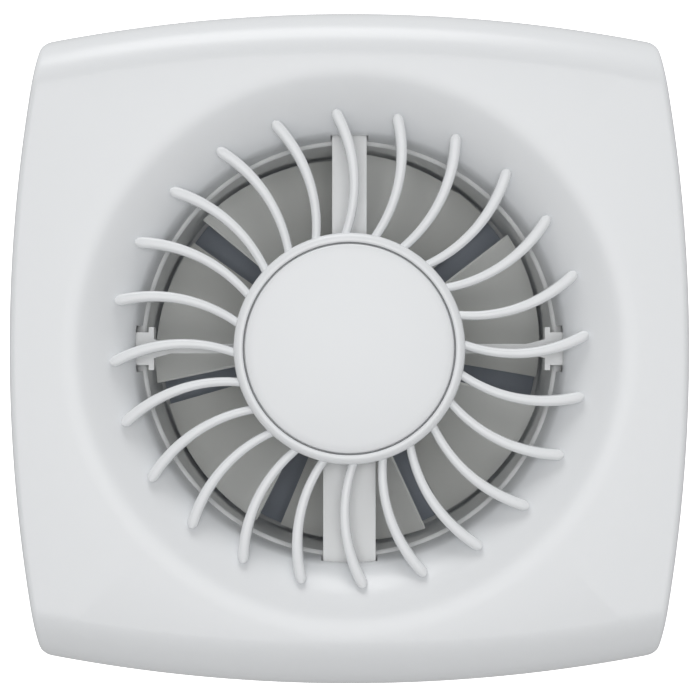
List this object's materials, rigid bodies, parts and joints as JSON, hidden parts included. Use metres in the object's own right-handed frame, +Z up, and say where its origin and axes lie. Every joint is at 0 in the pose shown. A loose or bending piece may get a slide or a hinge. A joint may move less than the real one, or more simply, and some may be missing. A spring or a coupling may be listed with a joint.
{
  "type": "axial extract fan",
  "caption": "Square axial extract fan for a round duct: clip-on bell-mouth cover with curved guide vanes, motor on a four-arm bracket, bladed impeller and sprung two-flap backdraught shutter.",
  "frame": {"origin": "on the duct axis at the wall plane, the back face of the back plate", "axes": "+X right and +Z up as seen from the front, +Y along the duct, away from the room"},
  "size_m": [0.157, 0.0884, 0.1572],
  "materials": {
    "cover_plastic": "glossy moulded ABS, white",
    "housing_plastic": "satin moulded ABS, white",
    "impeller_plastic": "satin moulded plastic, light grey",
    "flap_plastic": "satin moulded plastic, slate grey",
    "core_steel": "stamped laminations",
    "cage_aluminium": "die cast",
    "cast_bracket": "die cast",
    "copper_wire": "enamelled copper winding",
    "copper_ring": "bare copper",
    "bobbin_plastic": "natural nylon",
    "sintered_bronze": "oil-filled sintered bronze",
    "zinc_steel": "zinc plated",
    "ground_steel": "ground",
    "spring_steel": "spring wire",
    "washer_plastic": "acetal",
    "terminal_plastic": "natural polyamide",
    "terminal_brass": "drawn brass",
    "grommet_rubber": "soft moulded rubber",
    "lead_brown": "PVC insulation",
    "lead_blue": "PVC insulation"
  },
  "bodies": {
    "housing": {"back_plate": "housing_plastic", "duct_tube": "housing_plastic", "motor_bracket": "housing_plastic", "shutter_bar": "housing_plastic", "shutter_pin": "ground_steel", "stator_core": "core_steel", "coil_bobbins": "bobbin_plastic", "stator_coils": "copper_wire", "shading_rings": "copper_ring", "bearing_bushes": "sintered_bronze", "rear_bearing_bracket": "cast_bracket", "motor_screws": "zinc_steel", "terminal_block": "terminal_plastic", "terminal_clamps": "terminal_brass", "terminal_screws": "zinc_steel", "block_screw": "zinc_steel", "cable_grommet": "grommet_rubber", "cable_saddle": "housing_plastic", "saddle_screws": "zinc_steel", "motor_lead_live": "lead_brown", "motor_lead_neutral": "lead_blue"},
    "rotor": {"motor_shaft": "ground_steel", "rotor_core": "core_steel", "rotor_end_rings": "cage_aluminium", "thrust_washers": "washer_plastic", "impeller": "impeller_plastic", "impeller_clip": "spring_steel"},
    "flap_right": {"shutter_flap_right": "flap_plastic", "flap_spring_right": "spring_steel"},
    "flap_left": {"shutter_flap_left": "flap_plastic", "flap_spring_left": "spring_steel"},
    "cover": {"front_cover": "cover_plastic", "guide_vanes": "cover_plastic", "grille_hub": "cover_plastic", "centre_cap": "cover_plastic"}
  },
  "joints": [
    {"name": "rotor_spin", "type": "hinge", "parent": "housing", "child": "rotor", "pos_m": [0, 0, 0], "axis": [0, -1, 0], "continuous": true},
    {"name": "flap_right_swing", "type": "hinge", "parent": "housing", "child": "flap_right", "pos_m": [0, 0.0306, 0], "axis": [0, 0, 1], "range_deg": [0, 80], "stiffness_Nm_per_rad": 0.0006, "springref_deg": -28.65},
    {"name": "flap_left_swing", "type": "hinge", "parent": "housing", "child": "flap_left", "pos_m": [0, 0.0306, 0], "axis": [0, 0, -1], "range_deg": [0, 80], "stiffness_Nm_per_rad": 0.0006, "springref_deg": -28.65},
    {"name": "cover_pull", "type": "slide", "parent": "housing", "child": "cover", "axis": [0, -1, 0], "range_m": [0, 0.05]}
  ]
}
